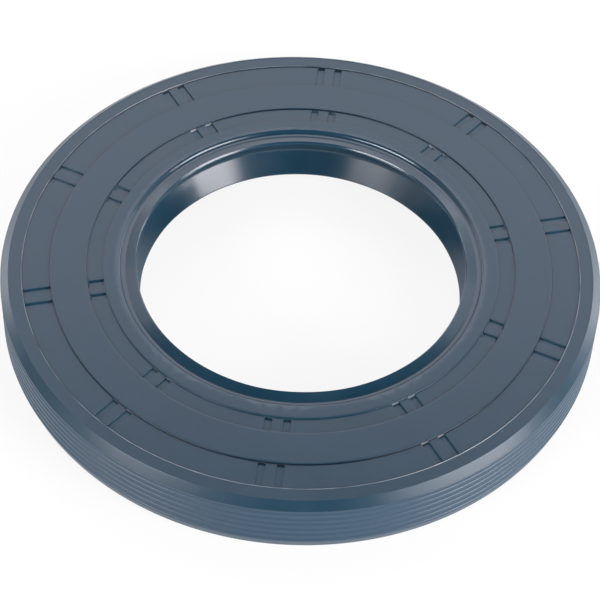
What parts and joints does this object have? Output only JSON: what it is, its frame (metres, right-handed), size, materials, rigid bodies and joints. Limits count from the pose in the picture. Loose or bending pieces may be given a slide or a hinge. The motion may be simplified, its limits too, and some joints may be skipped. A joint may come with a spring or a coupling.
{
  "type": "radial shaft seal",
  "caption": "Flat ring seal for a turning shaft: ribbed rubber outside, steel ring inside, spring-loaded sealing lip and a dust lip on the air side.",
  "frame": {"origin": "on the seal's axis, in the plane of the oil-side end", "axes": "+Z along the axis towards the air side with the dust lip, +Y through the middle of a pair of slots"},
  "size_m": [0.0904, 0.0904, 0.01],
  "materials": {
    "seal_rubber": "moulded, satin",
    "pressed_steel": "phosphated sheet steel",
    "spring_wire": "drawn wire, bright"
  },
  "bodies": {
    "root": {"rubber_body": "seal_rubber", "stiffening_ring": "pressed_steel", "garter_spring": "spring_wire"}
  },
  "joints": []
}
